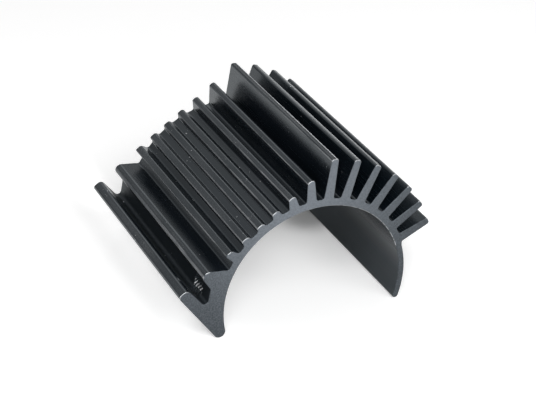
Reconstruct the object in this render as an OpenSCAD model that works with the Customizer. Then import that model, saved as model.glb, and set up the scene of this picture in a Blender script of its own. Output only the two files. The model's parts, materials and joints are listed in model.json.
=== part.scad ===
// Clip-on motor heat sink: one length of extruded aluminium, sawn off, drilled and black anodised.
// Its two legs spring over a round motor can, and a fan sits on the level row of short ribs.
// The profile is drawn with the fan seat level, then tilted so that both leg ends stand level.
// The origin is on the motor's axis at the middle of the length, with +Y along the motor and +Z up.

/* [Motor seat] */
// Diameter of the motor can that the legs clip round
can_d = 36; // [32:0.5:42]
// Length of the extrusion along the motor
sink_len = 42.5; // [25:0.5:70]
// Wall between the motor and the bottoms of the fin gaps
rim_wall = 1.4; // [1:0.1:1.9]
// Wall of the thin leg
thin_leg_wall = 1.2; // [0.8:0.1:1.6]
// Radius of the round end of the thick leg
thick_leg_end_r = 1.12; // [0.8:0.02:1.4]

/* [Fins] */
// Number of fins, with those that are cut down to ribs
fin_count = 13; // [9:1:13]
// Angle from one fin to the next
fin_pitch = 10.15; // [9:0.05:10.4]
// Angle of the lowest fin, measured from the fan seat's plane
lowest_fin_angle = -12.9; // [-18:0.1:-10]
// Thickness of a fin at its root
fin_root_t = 1.95; // [1.5:0.05:2.2]
// Thickness that a fin tapers to at its tip
fin_tip_t = 1.35; // [1:0.05:1.8]
// Depth from the motor to the arc on which the fins end
fin_reach = 8.1; // [5:0.1:12]
// Height of that arc's centre above the motor's axis, square to the fan seat
fin_arc_rise = 1.7; // [0:0.1:3]
// Radius in the bottom corners of the fin gaps
root_fillet = 0.45; // [0.1:0.05:0.6]
// Radius on the edges of the fin tips
tip_round = 0.45; // [0.1:0.05:0.6]

/* [Fan seat] */
// Height of the lowest rib
rib_rise = 0.85; // [0.4:0.05:2.5]
// Tilt of the fan seat from level
seat_tilt = 36.9; // [25:0.1:45]
// Radius on the rib edges that face the screw slot
rib_edge_round = 0.35; // [0.1:0.05:0.5]
// Radius on the rib edges that face the tall fins
rib_back_round = 0.65; // [0.1:0.05:0.8]

/* [Screw slot] */
// How far the flat side stands out past the motor can
side_proud = 0.6; // [0.3:0.05:1.2]
// Thickness of the outer arm at its tip
outer_arm_t = 2.15; // [1.6:0.05:3]
// Width of the slot at its mouth
slot_w = 3.25; // [2.8:0.05:3.6]
// Draft of each wall of the slot
slot_draft = 3; // [0:0.5:5]
// Wall between the motor and the slot's floor
slot_floor_wall = 3.35; // [2.6:0.05:4]
// Slope of the slot's floor against the fan seat
slot_floor_slope = 45; // [35:1:55]
// Width of the inner arm at its tip
inner_arm_tip_w = 1.45; // [1:0.05:2]
// Width of the inner arm at its root
inner_arm_root_w = 4.5; // [3.6:0.1:5]
// Radius on the outer arm's outer edge
arm_round = 0.65; // [0.1:0.05:0.9]
// Radius on both arms' edges at the slot's mouth
mouth_round = 1; // [0.2:0.05:1.2]
// Radius where the inner arm's tip turns into its sloping back
arm_back_round = 1.2; // [0.2:0.1:2]
// Radius in the corners of the slot
slot_fillet = 0.7; // [0.2:0.05:0.9]

/* [Screw hole] */
// Nominal diameter of the screw's thread
screw_d = 4; // [3:0.5:4]
// Pitch of the screw's thread
screw_pitch = 0.7; // [0.5:0.05:0.8]
// Distance from the front end to the hole's centre
screw_inset = 4.7; // [3:0.1:12]

/* [Hidden] */
$fn = 96;
anodised_black = [0.11, 0.11, 0.12];
// Steps in a rounded corner, and the share of an edge that its two corners may take up
corner_steps = 6;
edge_share = 0.96;
// Overlap of shapes that are joined, and run-out of cuts
join = 0.5;
half_turn = 180;

can_r = can_d / 2;
rim_r = can_r + rim_wall;
seat_h = rim_r + rib_rise;
fin_arc_r = can_r + fin_reach;
side_x = -(can_r + side_proud);
slot_outer_x = side_x + outer_arm_t;
slot_inner_x = slot_outer_x + slot_w;
slot_mid_x = (slot_outer_x + slot_inner_x) / 2;
tap_drill_d = screw_d - screw_pitch;

// The thick leg's round end touches both the motor and the flat side
thick_end_x = side_x + thick_leg_end_r;
thick_end_y = sqrt(pow(can_r + thick_leg_end_r, 2) - pow(thick_end_x, 2));
thick_end = [thick_end_x, thick_end_y];
// Once tilted, the thin leg's end stands as low as the thick leg's
foot_level = thick_end_x * sin(seat_tilt) + thick_end_y * cos(seat_tilt) - thick_leg_end_r;
thin_end_r = thin_leg_wall / 2;
thin_end_angle = asin((foot_level + thin_end_r) / (can_r + thin_end_r)) - seat_tilt;

function ray(angle) = [cos(angle), sin(angle)];
function left_of(angle) = [-sin(angle), cos(angle)];
function unit(v) = v / norm(v);
function angle_of(v) = atan2(v.y, v.x);
function turn(from, to) = (to - from + 3 * half_turn) % (2 * half_turn) - half_turn;

// Points along an arc
function arc(centre, r, from, sweep, steps) =
    [for (i = [0:steps]) centre + r * ray(from + sweep * i / steps)];

// One corner of an outline, rounded inwards or outwards as far as its reach along both edges
function half_angle(before, at, after) = acos(unit(before - at) * unit(after - at)) / 2;
function round_corner(before, at, after, reach) =
    let (
        half = half_angle(before, at, after),
        a = unit(before - at),
        b = unit(after - at),
        centre = at + unit(a + b) * reach / cos(half),
        from = angle_of(at + a * reach - centre),
        to = angle_of(at + b * reach - centre)
    )
    arc(centre, reach * tan(half), from, turn(from, to), corner_steps);

// An outline from its corners, each given as [x, y, radius], where a radius of 0 leaves the corner sharp.
// Where an edge is too short for the rounds at its two ends, both give way alike.
function rounded(corners) =
    let (
        n = len(corners),
        at = [for (c = corners) [c.x, c.y]],
        before = [for (i = [0:n - 1]) at[(i + n - 1) % n]],
        after = [for (i = [0:n - 1]) at[(i + 1) % n]],
        asked = [for (i = [0:n - 1])
            corners[i].z == 0 ? 0 : corners[i].z / tan(half_angle(before[i], at[i], after[i]))],
        given = [for (i = [0:n - 1])
            min(1, edge_share * norm(after[i] - at[i]) / (asked[i] + asked[(i + 1) % n]))]
    )
    [for (i = [0:n - 1])
        each asked[i] == 0 ? [at[i]]
            : round_corner(before[i], at[i], after[i], asked[i] * min(given[(i + n - 1) % n], given[i]))];
function corner(at, r) = [at.x, at.y, r];

// How far out a fin meets the arc, and whether it ends there or is cut down to a rib of the fan seat
function fin_angle(i) = lowest_fin_angle + i * fin_pitch;
function arc_end(i) =
    let (across = fin_arc_rise * cos(fin_angle(i)))
    fin_arc_rise * sin(fin_angle(i)) + sqrt(pow(fin_arc_r, 2) - pow(across, 2));
function is_rib(i) = arc_end(i) * sin(fin_angle(i)) > seat_h + fin_tip_t / 2;
function fin_end(i) = is_rib(i) ? seat_h / sin(fin_angle(i)) : arc_end(i);

// A place on a fin's face at a distance out along the fin, where side is -1 or 1
function fin_taper(i) = (fin_root_t - fin_tip_t) / 2 / (fin_end(i) - rim_r);
function fin_face(i, side, out) =
    out * ray(fin_angle(i))
    + side * left_of(fin_angle(i)) * (fin_root_t / 2 - (out - rim_r) * fin_taper(i));

// How far out a face ends, where each face of a rib runs up to the fan seat
function face_end(i, side) =
    let (
        lean = side * cos(fin_angle(i)),
        half_at_axis = fin_root_t / 2 + rim_r * fin_taper(i)
    )
    is_rib(i) ? (seat_h - lean * half_at_axis) / (sin(fin_angle(i)) - lean * fin_taper(i))
        : fin_end(i);

function fin_corners(i) = [
    corner(fin_face(i, -1, rim_r), root_fillet),
    corner(fin_face(i, -1, face_end(i, -1)), is_rib(i) ? rib_back_round : tip_round),
    corner(fin_face(i, 1, face_end(i, 1)), is_rib(i) ? rib_edge_round : tip_round),
    corner(fin_face(i, 1, rim_r), root_fillet)
];

// The foot of a slot wall, which leans in from the mouth to a floor that is square to a ray from the axis
slot_floor_rise = (can_r + slot_floor_wall) / cos(slot_floor_slope);
function slot_foot(mouth_x, lean) =
    let (
        slope = tan(slot_floor_slope),
        y = (slot_floor_rise + slope * (mouth_x + lean * seat_h)) / (1 + slope * lean)
    )
    [mouth_x + lean * (seat_h - y), y];

inner_arm_foot_x = slot_inner_x + inner_arm_root_w;
inner_arm_foot = [inner_arm_foot_x, sqrt(pow(rim_r, 2) - pow(inner_arm_foot_x, 2))];
arm_corners = [
    corner(inner_arm_foot, root_fillet),
    [slot_inner_x + inner_arm_tip_w, seat_h, arm_back_round],
    [slot_inner_x, seat_h, mouth_round],
    corner(slot_foot(slot_inner_x, -tan(slot_draft)), slot_fillet),
    corner(slot_foot(slot_outer_x, tan(slot_draft)), slot_fillet),
    [slot_outer_x, seat_h, mouth_round],
    [side_x, seat_h, arm_round]
];

// Where there are fewer ribs, the bare rim runs on in their places as far as the inner arm
rim_corners = [
    for (angle = [fin_angle(fin_count):fin_pitch:angle_of(inner_arm_foot) - fin_pitch / 2])
        corner(rim_r * ray(angle), 0)
];

// The thick leg's end runs from the flat side round to just short of the motor
thick_end_steps = 24;
thick_end_sweep = angle_of(-thick_end) + half_turn;
thick_end_points = arc(thick_end, thick_leg_end_r, half_turn, thick_end_sweep, thick_end_steps);

// Fins, arms and thick leg in one outline, whose inner part lies in the motor bore
module finned_side() {
    leg_blend = (rim_r - join) * ray(fin_angle(0) - fin_pitch);
    polygon(rounded(concat(
        [[0, 0, 0], corner(leg_blend, 0)],
        [for (i = [0:fin_count - 1]) each fin_corners(i)],
        rim_corners,
        arm_corners,
        [for (i = [0:thick_end_steps - 1]) corner(thick_end_points[i], 0)]
    )));
}

module thin_leg() {
    reach = 2 * can_r;
    intersection() {
        circle(can_r + thin_leg_wall);
        polygon([
            [0, 0],
            reach * ray(thin_end_angle),
            reach * ray(fin_angle(0))
        ]);
    }
    rotate(thin_end_angle)
        translate([can_r + thin_end_r, 0])
            circle(thin_end_r);
}

module profile() {
    difference() {
        union() {
            finned_side();
            thin_leg();
        }
        circle(can_r);
    }
}

// Drilled and tapped down the middle of the slot, through to the motor seat
module screw_hole() {
    translate([slot_mid_x, 0, sink_len / 2 - screw_inset])
        rotate([-90, 0, 0])
            cylinder(d = tap_drill_d, h = seat_h + join);
}

module heat_sink() {
    color(anodised_black)
        rotate([90, 0, 0])
            rotate(seat_tilt)
                difference() {
                    linear_extrude(sink_len, center = true) profile();
                    screw_hole();
                }
}

heat_sink();
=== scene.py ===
import json
import math

import bpy
from mathutils import Matrix, Vector


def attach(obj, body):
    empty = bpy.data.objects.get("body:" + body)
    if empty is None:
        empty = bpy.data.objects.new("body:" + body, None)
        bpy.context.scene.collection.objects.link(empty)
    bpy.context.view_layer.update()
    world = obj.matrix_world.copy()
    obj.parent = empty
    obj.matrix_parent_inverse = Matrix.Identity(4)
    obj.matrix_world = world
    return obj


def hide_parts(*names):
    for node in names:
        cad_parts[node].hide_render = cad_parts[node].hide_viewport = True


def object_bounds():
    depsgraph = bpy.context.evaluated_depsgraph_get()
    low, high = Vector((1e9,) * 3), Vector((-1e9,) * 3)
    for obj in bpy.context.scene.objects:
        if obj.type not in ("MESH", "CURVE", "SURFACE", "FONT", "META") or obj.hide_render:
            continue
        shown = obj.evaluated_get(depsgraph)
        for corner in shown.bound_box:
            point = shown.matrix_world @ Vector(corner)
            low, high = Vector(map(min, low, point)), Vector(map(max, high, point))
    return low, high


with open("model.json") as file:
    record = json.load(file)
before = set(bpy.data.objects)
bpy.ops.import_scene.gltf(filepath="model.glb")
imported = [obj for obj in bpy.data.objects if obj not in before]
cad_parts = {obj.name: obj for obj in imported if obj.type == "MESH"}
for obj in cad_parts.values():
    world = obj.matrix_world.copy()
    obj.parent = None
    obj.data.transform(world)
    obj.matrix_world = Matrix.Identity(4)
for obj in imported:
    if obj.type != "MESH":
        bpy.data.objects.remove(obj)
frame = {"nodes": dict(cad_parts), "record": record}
cad_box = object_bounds()


# Heat sink
# One length of aluminium pushed through a die, sawn off at both ends, drilled and tapped once,
# and dyed black in the anodising bath. Its two legs spring over the motor, so nothing else holds it.

# Its mesh is worked on in millimetres, so that the operators keep edges of a few hundredths
mm = 0.001
mounts = {mount["name"]: mount for mount in frame["record"]["mounts"]}
can_r = mounts["motor_seat"]["dims"]["r_mm"]
end_y = mounts["motor_seat"]["dims"]["length_mm"] / 2
seat_up = Vector(mounts["fan_seat"]["axis"])
seat_h = seat_up.dot(Vector(mounts["fan_seat"]["pos_m"])) / mm
seat_side = Vector((0, 1, 0)).cross(seat_up)
weld_gap = 0.001
flat_angle = math.radians(0.1)


def take_up(piece):
    """Makes a piece the only one selected, and the one that operators work on."""
    bpy.ops.object.select_all(action="DESELECT")
    piece.select_set(True)
    bpy.context.view_layer.objects.active = piece


def resize(piece, factor):
    """Scales the mesh of the piece in hand about the origin."""
    piece.scale = (factor, factor, factor)
    bpy.ops.object.transform_apply(location=False, rotation=False, scale=True)


def apply_modifier(piece, kind, **settings):
    """Adds a modifier with its settings to the piece in hand, and applies it."""
    modifier = piece.modifiers.new(kind.lower(), kind)
    for name, value in settings.items():
        setattr(modifier, name, value)
    bpy.ops.object.modifier_apply(modifier=modifier.name)


heat_sink = bpy.data.objects.new("heat_sink_body", frame["nodes"]["heat_sink"].data.copy())
bpy.context.scene.collection.objects.link(heat_sink)
take_up(heat_sink)
resize(heat_sink, 1 / mm)
bpy.ops.mesh.customdata_custom_splitnormals_clear()
bpy.ops.object.mode_set(mode="EDIT")
bpy.ops.mesh.select_all(action="SELECT")
bpy.ops.mesh.remove_doubles(threshold=weld_gap)
bpy.ops.mesh.dissolve_limited(angle_limit=flat_angle)
bpy.ops.object.mode_set(mode="OBJECT")

# The tap cuts a helical groove, which is drawn as a ridge: one tooth, swept up the hole's axis
hole = mounts["screw_hole"]
hole_place = Vector(hole["pos_m"]) / mm
hole_axis = Vector(hole["axis"])
hole_r = hole["dims"]["r_mm"]
thread_r = 2
thread_pitch = 0.7
tooth_root_r = hole_r - 0.15
crest_r = hole_r + 0.08
tooth_root_w = 0.97 * thread_pitch
tooth_neck_w = 0.6 * thread_pitch
tooth_tip_w = 0.13 * thread_pitch
tap_run_out = 1
tap_turns = math.ceil((hole["dims"]["length_mm"] + 2 * tap_run_out) / thread_pitch)
tap_steps = 36
tap_weld_gap = 0.0001

bpy.ops.object.select_all(action="DESELECT")
bpy.ops.mesh.primitive_plane_add(
    size=1,
    location=((tooth_root_r + thread_r) / 2, 0, -tap_turns * thread_pitch / 2),
    rotation=(math.pi / 2, 0, 0),
)
tap = bpy.context.object
tap.scale = (thread_r - tooth_root_r, tooth_root_w, 1)
bpy.ops.object.transform_apply(location=True, rotation=True, scale=True)
bpy.context.tool_settings.mesh_select_mode = (True, False, False)
for vertex in tap.data.vertices:
    vertex.select = vertex.co.x > hole_r
for edge in tap.data.edges:
    edge.select = all(tap.data.vertices[i].select for i in edge.vertices)
for face in tap.data.polygons:
    face.select = False
bpy.ops.object.mode_set(mode="EDIT")
bpy.ops.transform.translate(value=(crest_r - thread_r, 0, 0))
bpy.ops.transform.resize(value=(1, 1, tooth_neck_w / tooth_root_w))
bpy.ops.mesh.extrude_region_move(TRANSFORM_OT_translate={"value": (thread_r - crest_r, 0, 0)})
bpy.ops.transform.resize(value=(1, 1, tooth_tip_w / tooth_neck_w))
bpy.ops.mesh.select_all(action="SELECT")
bpy.ops.mesh.dissolve_faces(use_verts=False)
bpy.ops.mesh.delete(type="ONLY_FACE")
bpy.ops.object.mode_set(mode="OBJECT")
apply_modifier(
    tap, "SCREW", axis="Z", angle=2 * math.pi, screw_offset=thread_pitch, iterations=tap_turns,
    steps=tap_steps, render_steps=tap_steps,
)
bpy.ops.object.mode_set(mode="EDIT")
bpy.ops.mesh.select_all(action="SELECT")
bpy.ops.mesh.remove_doubles(threshold=tap_weld_gap)
bpy.ops.mesh.fill_holes(sides=0)
bpy.ops.mesh.normals_make_consistent(inside=False)
bpy.ops.object.mode_set(mode="OBJECT")
tap_turn = Vector((0, 0, 1)).rotation_difference(hole_axis)
tap.matrix_world = Matrix.Translation(hole_place) @ tap_turn.to_matrix().to_4x4()
take_up(heat_sink)
apply_modifier(heat_sink, "BOOLEAN", operation="DIFFERENCE", solver="EXACT", object=tap)
bpy.data.objects.remove(tap)

# The saw leaves a fine eased edge all round both ends
burr_w = 0.1
near = 0.001
sawn_square = 0.99
smooth_angle = math.radians(30)


def is_sawn(face):
    """Whether a face is one that the saw left, square to the length at either end."""
    return abs(face.normal.y) > sawn_square and abs(abs(face.center.y) - end_y) < near


sides_of = {}
for face in heat_sink.data.polygons:
    for key in face.edge_keys:
        sides_of.setdefault(key, []).append(is_sawn(face))
edge_weights = heat_sink.data.attributes.new("bevel_weight_edge", "FLOAT", "EDGE")
for edge in heat_sink.data.edges:
    edge_weights.data[edge.index].value = sorted(sides_of[edge.key]) == [False, True]
apply_modifier(
    heat_sink, "BEVEL", limit_method="WEIGHT", width=burr_w, segments=1, use_clamp_overlap=False,
)
bpy.ops.object.shade_smooth_by_angle(angle=smooth_angle)
apply_modifier(heat_sink, "WEIGHTED_NORMAL", keep_sharp=True)


class Wire:
    """An output of a node in a finish. Sums and products of wires add the nodes that work them out."""

    def __init__(self, tree, socket=None):
        self.tree = tree
        self.socket = socket

    def node(self, kind, settings=None, values=None, output=0):
        """Adds a node to the finish: its settings first, then the values or wires of its sockets."""
        made = self.tree.nodes.new(kind)
        for name, value in (settings or {}).items():
            setattr(made, name, value)
        for name, value in (values or {}).items():
            if isinstance(value, Wire):
                self.tree.links.new(value.socket, made.inputs[name])
            else:
                made.inputs[name].default_value = value
        return Wire(self.tree, made.outputs[output] if made.outputs else None)

    def maths(self, operation, first, second):
        return self.node("ShaderNodeMath", {"operation": operation}, {0: first, 1: second})

    def __add__(self, other):
        return self.maths("ADD", self, other)

    def __radd__(self, other):
        return self.maths("ADD", other, self)

    def __sub__(self, other):
        return self.maths("SUBTRACT", self, other)

    def __rsub__(self, other):
        return self.maths("SUBTRACT", other, self)

    def __mul__(self, other):
        return self.maths("MULTIPLY", self, other)

    def __rmul__(self, other):
        return self.maths("MULTIPLY", other, self)

    def ramp(self, low, high):
        """0 up to low, 1 from high on, and smooth between them."""
        return self.node(
            "ShaderNodeMapRange",
            {"interpolation_type": "SMOOTHSTEP"},
            {"Value": self, "From Min": low, "From Max": high},
        )

    def blend(self, first, second):
        """The first colour where this wire is 0, and the second where it is 1."""
        return self.node(
            "ShaderNodeMix", {"data_type": "RGBA"}, {0: self, 6: first, 7: second}, 2
        )

    def along(self, direction):
        """How far the places or directions that this wire carries reach along a direction."""
        return self.node(
            "ShaderNodeVectorMath", {"operation": "DOT_PRODUCT"}, {0: self, 1: direction}, "Value"
        )

    def distance(self, centre):
        """How far the places that this wire carries lie from a centre."""
        return self.node(
            "ShaderNodeVectorMath", {"operation": "DISTANCE"}, {0: self, 1: centre}, "Value"
        )

    def in_section(self):
        """The places that this wire carries, slid along the length to the part's middle section."""
        return self.node("ShaderNodeVectorMath", {"operation": "MULTIPLY"}, {0: self, 1: (1, 0, 1)})

    def noise(self, size, stretch=(1, 1, 1), detail=2):
        """Noise of a given size in metres on the places that this wire carries."""
        places = self.node("ShaderNodeMapping", None, {"Vector": self, "Scale": stretch})
        return self.node(
            "ShaderNodeTexNoise", None, {"Vector": places, "Scale": 1 / size, "Detail": detail}, "Fac"
        )

    def bump(self, strength, depth):
        """The normals of a surface that rises and falls as this wire does."""
        return self.node(
            "ShaderNodeBump", None, {"Height": self, "Strength": strength, "Distance": depth}
        )


def new_finish(name):
    """A material with nothing in it yet, and the wire that carries places on the piece."""
    material = bpy.data.materials.new(name)
    material.use_nodes = True
    material.node_tree.nodes.clear()
    places = Wire(material.node_tree).node("ShaderNodeTexCoord", output="Object")
    return material, places


def set_surface(places, values):
    """Completes a finish with a surface that has the given values."""
    surface = places.node("ShaderNodeBsdfPrincipled", None, values)
    places.node("ShaderNodeOutputMaterial", None, {"Surface": surface})


# The die leaves fine lines along the length. The dye is nearly black, rubbed greyer on the fan seat,
# where that grey also paints the sheen the seat's flat tops catch, dull in the slot and where the legs
# grip the motor, and chipped here and there.
dye_dark = (0.002, 0.004, 0.006, 1)
dye_pale = (0.005, 0.007, 0.010, 1)
rubbed_and_sheen_grey = (0.070, 0.072, 0.075, 1)
bare_metal = (0.75, 0.76, 0.78, 1)
dye_sheen = (0.80, 0.92, 1.0, 1)
oxide_ior = 1.7
dye_roughness = 0.2
die_line_roughness = 0.08
grain_roughness = 0.04
dull_roughness = 0.3
die_line_height = 0.6
grain_height = 0.4
bump_strength = 0.3
bump_depth = 0.01 * mm
die_line_w = 0.3 * mm
along_lines = (1, 0.01, 1)
grain_size = 0.12 * mm
dye_cloud_size = 7 * mm
along_dye_clouds = (1, 0.3, 1)
dye_cloud_edge = (0.35, 0.65)
rub_cloud_size = 9 * mm
along_rub_clouds = (1, 0.4, 1)
rub_cloud_edge = (0.35, 0.75)
rub_grain_edge = (0.35, 0.7)
rub_from = (seat_h - 0.08) * mm
rub_to = (seat_h - 0.02) * mm
slot_left = -16.6
slot_right = -13.2
slot_top = seat_h - 0.9
slot_fade = 0.3
bore_from = (can_r + 0.02) * mm
bore_to = (can_r + 0.1) * mm
grip_top = 6 * mm
chip_size = 0.35 * mm
chip_edge = (0.79, 0.81)
chip_patch_size = 5 * mm
chip_patch_edge = (0.6, 0.65)

anodised, places = new_finish("anodised_black")
die_lines = places.noise(die_line_w, along_lines, detail=3)
grain = places.noise(grain_size)
dye_clouds = places.noise(dye_cloud_size, along_dye_clouds).ramp(*dye_cloud_edge)
rise = places.along(seat_up)
on_seat = rise.ramp(rub_from, rub_to)
rub_clouds = places.noise(rub_cloud_size, along_rub_clouds).ramp(*rub_cloud_edge)
# Grey on the fan seat: wear, and painted sheen that the flat tops catch
rubbed_and_sheen = on_seat * rub_clouds * grain.ramp(*rub_grain_edge)
sideways = places.along(seat_side)
left_of_slot_wall = 1 - sideways.ramp((slot_right - slot_fade) * mm, slot_right * mm)
right_of_outer_arm = sideways.ramp(slot_left * mm, (slot_left + slot_fade) * mm)
below_mouth = 1 - rise.ramp((slot_top - slot_fade) * mm, slot_top * mm)
in_bore = 1 - places.in_section().distance((0, 0, 0)).ramp(bore_from, bore_to)
low_down = 1 - places.along((0, 0, 1)).ramp(0, grip_top)
dull = left_of_slot_wall * right_of_outer_arm * below_mouth + in_bore * low_down
chip_spots = places.noise(chip_size, detail=0).ramp(*chip_edge)
chip_patches = places.noise(chip_patch_size).ramp(*chip_patch_edge)
chips = chip_spots * chip_patches * (1 - in_bore)
dye = rubbed_and_sheen.blend(dye_clouds.blend(dye_dark, dye_pale), rubbed_and_sheen_grey)
line_roughness = die_line_roughness * die_lines + grain_roughness * grain
surface_height = die_line_height * die_lines + grain_height * grain
set_surface(places, {
    "Base Color": chips.blend(dye, bare_metal),
    "Metallic": chips,
    "Roughness": dye_roughness + line_roughness + dull_roughness * dull,
    "IOR": oxide_ior,
    "Specular Tint": dye_sheen,
    "Normal": surface_height.bump(bump_strength, bump_depth),
})

# The sawn ends are duller and greyer than the rest, with painted light making them palest on the crown
# and painted shade making them darker down the legs
sawn_dark = (0.020, 0.023, 0.027, 1)
sawn_pale = (0.118, 0.131, 0.148, 1)
sawn_ior = 1.5
sawn_roughness = 0.45
saw_grain_roughness = 0.15
saw_grain_size = 0.3 * mm
saw_grain_darkening = 1.2
crown = (-6 * mm, 0, 22 * mm)
crown_reach = 34 * mm
crown_painted_light = 1.5
leg_painted_shade = 0.8

sawn, places = new_finish("sawn_grey")
saw_grain = places.noise(saw_grain_size, detail=3)
# Painted shade that grows with distance from the crown, where the painted light is brightest
painted_shade_down_legs = places.in_section().distance(crown).ramp(0, crown_reach)
grain_and_painted_light = crown_painted_light - leg_painted_shade * painted_shade_down_legs - saw_grain_darkening * saw_grain
set_surface(places, {
    "Base Color": grain_and_painted_light.blend(sawn_dark, sawn_pale),
    "Roughness": sawn_roughness + saw_grain_roughness * saw_grain,
    "IOR": sawn_ior,
    "Specular Tint": dye_sheen,
    "Normal": saw_grain.bump(bump_strength, bump_depth),
})

# Where edges rub, the dye is gone in stretches along the length. The same finishes also paint
# highlights on some edges, and all fade towards the far end as painted light falling off away from the
# front
rubbed_roughness = 0.45
rubbed_metallic = 0.5
stretch_w = 0.8 * mm
along_stretches = (1, 0.15, 1)
far_from = -12 * mm
far_to = 10 * mm


def new_rubbed_and_glint_finish(name, bareness, far_fade, bare_from, bare_to):
    """Rubbed dye, whose bared metal also serves as painted highlights. The further apart bare_from and
    bare_to lie, the softer its stretches end.
    """
    rubbed_and_glint_edge, places = new_finish(name)
    # Painted fall-off of light: the bared look fades towards the far end
    far = places.along((0, 1, 0)).ramp(far_from, far_to)
    stretches = places.noise(stretch_w, along_stretches).ramp(bare_from, bare_to)
    bare = bareness * (1 - far_fade * far) * stretches
    set_surface(places, {
        "Base Color": bare.blend(dye_pale, bare_metal),
        "Metallic": rubbed_metallic * bare,
        "Roughness": rubbed_roughness,
        "IOR": oxide_ior,
        "Specular Tint": dye_sheen,
    })
    return rubbed_and_glint_edge


# The crests of the thread and the tall fins' edges that face away from the slot are nearly bare, as
# painted glints and painted highlight lines
glint_finish = new_rubbed_and_glint_finish("bright_edge", bareness=0.9, far_fade=0.35, bare_from=0.2, bare_to=0.4)
# The burrs on the tips and on the bore's edge are half bare, partly real burrs and partly a painted
# glint
burr_and_glint_finish = new_rubbed_and_glint_finish("bared_edge", bareness=0.52, far_fade=0.7, bare_from=0.35, bare_to=0.55)
# The edges that face the slot are only a little worn, but with hardly a break, and this bared line
# also paints the highlight these edges catch
worn_and_highlight_finish = new_rubbed_and_glint_finish("worn_edge", bareness=0.2, far_fade=0.7, bare_from=0.2, bare_to=0.55)

# Each face gets its finish by its place and by which way it points
tip_reach = 0.5
fin_arc_r = 26.1
fin_arc_rise = 1.7
ribs_from = -13.4
slot_edge_from = 0.25
slot_edge_to = 0.9
fin_edge_out = 0.2
fin_edge_away = 0.1
crest_half_angle = math.radians(12)
end_slant = 0.3
end_square = 0.9
end_reach = 2 * burr_w
glint_from_x = -6
glint_from_z = 6


def from_hole(place):
    """Distance from the screw hole's axis."""
    return (place - hole_place).cross(hole_axis).length


def on_lit_side(place):
    """Whether a place lies in the narrow sector of the screw hole's wall that faces the drilled end,
    where the crests get a painted glint.
    """
    offset = place - hole_place
    facing_end = offset.project(hole_axis) + Vector((0, from_hole(place), 0))
    return offset.angle(facing_end) < crest_half_angle


def on_fan_seat(place):
    """Whether a place is up on the fan seat."""
    return place.dot(seat_up) > seat_h - tip_reach


def on_fin_arc(place):
    """Whether a place is out on the arc where the tall fins end."""
    out = math.hypot(place.dot(seat_side), place.dot(seat_up) - fin_arc_rise)
    return out > fin_arc_r - tip_reach


def is_slot_edge(face):
    """Whether a face is on a round edge of a rib or the inner arm that faces the slot."""
    on_ribs = face.center.dot(seat_side) > ribs_from and on_fan_seat(face.center)
    towards_slot = slot_edge_from < -face.normal.dot(seat_side) < slot_edge_to
    return on_ribs and towards_slot and face.normal.dot(seat_up) > 0


def is_fin_edge(face):
    """Whether a face is on a tall fin's round edge that faces away from the slot, where a painted
    highlight line goes.
    """
    on_tall_fin = face.center.dot(seat_side) > 0 and on_fin_arc(face.center)
    along_fin = Vector((face.center.x, 0, face.center.z)).normalized()
    away_from_slot = along_fin.cross(Vector((0, -1, 0)))
    points_out = face.normal.dot(along_fin) > fin_edge_out
    return on_tall_fin and points_out and face.normal.dot(away_from_slot) > fin_edge_away


finishes = [anodised, sawn, burr_and_glint_finish, worn_and_highlight_finish, glint_finish]
heat_sink.data.materials.clear()
for finish in finishes:
    heat_sink.data.materials.append(finish)
for face in heat_sink.data.polygons:
    at_end = abs(face.center.y) > end_y - end_reach and abs(face.normal.y) > end_slant
    on_burr = at_end and abs(face.normal.y) < end_square
    on_tip = on_fan_seat(face.center) or on_fin_arc(face.center)
    corners = [heat_sink.data.vertices[i].co for i in face.vertices]
    on_crest = max(from_hole(corner) for corner in corners) < crest_r + near
    by_bore = max(math.hypot(corner.x, corner.z) for corner in corners) < can_r + end_reach
    # Only the upper side of the bore's edge, towards the fins, gets the painted glint
    on_glint_bore_edge = by_bore and face.center.z > glint_from_z and face.center.x > glint_from_x
    # Painted glints on the thread's crests and painted highlight lines on the tall fins' edges
    if on_crest and on_lit_side(face.center) or is_fin_edge(face) and not at_end:
        finish = glint_finish
    # Burrs, half bare, partly real and partly a painted glint
    elif on_burr and (on_glint_bore_edge or on_tip):
        finish = burr_and_glint_finish
    # Slot-facing edges: a little wear, and a painted highlight line
    elif is_slot_edge(face) and not at_end:
        finish = worn_and_highlight_finish
    else:
        finish = sawn if at_end else anodised
    face.material_index = finishes.index(finish)
resize(heat_sink, mm)

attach(heat_sink, "root")
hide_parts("heat_sink")


# Floor
# A sheet of matt white card, which takes the part's soft shadow and runs on past the picture.
# The part stands on it on the ends of both legs.

floor_size = 4
floor_z = cad_box[0][2]
card_white = (0.86, 0.86, 0.86, 1)
no_glow = (0, 0, 0, 1)
full_glow = (1, 1, 1, 1)
card_glow = 0.45
# Painted shadow: the glow that makes the card white is dimmed round the part, and gone by the thin
# leg's far end
shade_glow = 0.6
shade_centre = (0.004, -0.006, floor_z)
shade_from = 0.018
shade_to = 0.031
deep_shade_centre = (0.016, 0.0125, floor_z)
deep_shade_from = 0.002
deep_shade_to = 0.009
# Painted light: it is lifted again beside the outer arm and under the arch, as if light came back off
# the part
arm_painted_lift = 0.21
arm_lift_x = -0.021
arm_lift_reach = 0.0055
arm_lift_from_y = -0.019
arm_lift_to_y = -0.012
arch_painted_lift = 0.11
arch_lift_centre = (0.006, 0.001, floor_z)
arch_lift_reach = 0.012
# Painted shade in what the part mirrors: it mirrors the glow only from further off
mirrored_from = 0.01
mirrored_to = 0.055

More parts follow.
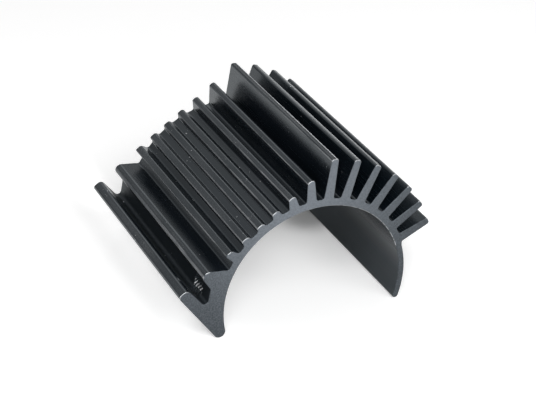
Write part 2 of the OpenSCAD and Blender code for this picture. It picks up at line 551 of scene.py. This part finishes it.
bpy.ops.object.select_all(action="DESELECT")
bpy.ops.mesh.primitive_plane_add(size=floor_size, location=(0, 0, floor_z))
floor = bpy.context.object
floor.name = "floor"
bpy.ops.object.transform_apply(location=True, rotation=True, scale=True)
card, places = new_finish("white_card")
looks = ("Is Camera Ray", "Is Glossy Ray", "Is Transmission Ray")
seen, mirrored, passed = (places.node("ShaderNodeLightPath", output=name) for name in looks)
out_of_shade = shade_glow + (1 - shade_glow) * places.distance(shade_centre).ramp(shade_from, shade_to)
out_of_deep_shade = places.distance(deep_shade_centre).ramp(deep_shade_from, deep_shade_to)
clear_of_part = places.distance((0, 0, 0)).ramp(mirrored_from, mirrored_to)
to_side = places.along((1, 0, 0))
left_of_arm = to_side.ramp(arm_lift_x - arm_lift_reach, arm_lift_x)
right_of_arm = to_side.ramp(arm_lift_x, arm_lift_x + arm_lift_reach)
behind_end = places.along((0, 1, 0)).ramp(arm_lift_from_y, arm_lift_to_y)
beside_arm = left_of_arm * (1 - right_of_arm) * behind_end
under_arch = 1 - places.distance(arch_lift_centre).ramp(0, arch_lift_reach)
# Painted light that lifts the floor's shadow beside the arm and under the arch
painted_lift = arm_painted_lift * beside_arm + arch_painted_lift * under_arch
# The glow the camera sees carries the painted shadow and the painted light
glow_seen = card_glow * out_of_shade * out_of_deep_shade + painted_lift
glow_mirrored = card_glow * clear_of_part
glow = glow_seen * seen + glow_mirrored * (mirrored + passed)
places.node("ShaderNodeOutputMaterial", None, {
    "Surface": places.node("ShaderNodeAddShader", None, {
        0: places.node("ShaderNodeBsdfDiffuse", None, {"Color": card_white}),
        1: places.node("ShaderNodeEmission", None, {"Color": glow.blend(no_glow, full_glow)}),
    }),
})
floor.data.materials.append(card)


# Light
# The room is dim, a little lighter on the slot's side and dark overhead, with a bright reflector low
# behind the fins. Two soft boxes stand in front of the drilled end, and a faint third one at the back.

wall_light = (0.28, 0.28, 0.28, 1)
fin_side_light = (0.34, 0.34, 0.34, 1)
slot_side_light = (0.58, 0.58, 0.58, 1)
overhead_light = (0.1, 0.1, 0.1, 1)
reflector_light = (1.7, 1.7, 1.7, 1)
reflector_direction = (0.62, 0.78, 0)
reflector_edge = 0.94
side_fade = 0.6
wall_fade_from = 0.25
wall_fade_to = 0.5
overhead_from = 0.65
overhead_to = 0.9

world = bpy.data.worlds.new("dim_room")
world.use_nodes = True
world.node_tree.nodes.clear()
bpy.context.scene.world = world
room = Wire(world.node_tree)
looking = room.node("ShaderNodeTexCoord", output="Generated")
height = looking.along((0, 0, 1))
towards_fins = looking.along((1, 0, 0)).ramp(-side_fade, side_fade)
above_wall = towards_fins.blend(slot_side_light, fin_side_light)
upper_room = height.ramp(overhead_from, overhead_to).blend(above_wall, overhead_light)
round_part = height.ramp(wall_fade_from, wall_fade_to).blend(wall_light, upper_room)
at_reflector = looking.along(reflector_direction).ramp(reflector_edge, 1)
room.node("ShaderNodeOutputWorld", None, {
    "Surface": room.node("ShaderNodeBackground", None, {
        "Color": at_reflector.blend(round_part, reflector_light),
    }),
})


def hang_soft_box(name, place, size, power):
    """A square soft box that faces the part."""
    soft_box_data = bpy.data.lights.new(name, "AREA")
    soft_box_data.size = size
    soft_box_data.energy = power
    soft_box = bpy.data.objects.new(name, soft_box_data)
    bpy.context.scene.collection.objects.link(soft_box)
    soft_box.location = place
    soft_box.rotation_euler = (-place).to_track_quat("-Z", "Y").to_euler()


hang_soft_box("slot_side_box", place=Vector((-0.087, -0.266, 0.21)), size=0.25, power=1.1)
hang_soft_box("fin_side_box", place=Vector((0.174, -0.248, 0.175)), size=0.2, power=0.35)
hang_soft_box("back_box", place=Vector((0.164, 0.538, 0.417)), size=0.21, power=0.14)


# Camera
# It looks down on the drilled end from the slot's side, a little rolled, through a long lens.

camera_aim = Vector((2.107, 2.732, 5.963)) * mm
camera_distance = 308.38 * mm
camera_heading = math.radians(27.793)
camera_look_down = math.radians(29.686)
camera_roll = math.radians(3.611)
camera_lens = 106.873
camera_sensor_w = 36
camera_clip_start = 0.01

camera_data = bpy.data.cameras.new("camera")
camera_data.lens = camera_lens
camera_data.sensor_width = camera_sensor_w
camera_data.sensor_fit = "HORIZONTAL"
camera_data.clip_start = camera_clip_start
camera = bpy.data.objects.new("camera", camera_data)
bpy.context.scene.collection.objects.link(camera)
camera_turn = (
    Matrix.Rotation(-camera_heading, 4, "Z")
    @ Matrix.Rotation(math.pi / 2 - camera_look_down, 4, "X")
    @ Matrix.Rotation(camera_roll, 4, "Z")
)
step_back = Matrix.Translation((0, 0, camera_distance))
camera.matrix_world = Matrix.Translation(camera_aim) @ camera_turn @ step_back
bpy.context.scene.camera = camera

bpy.context.scene.view_settings.view_transform = "Standard"
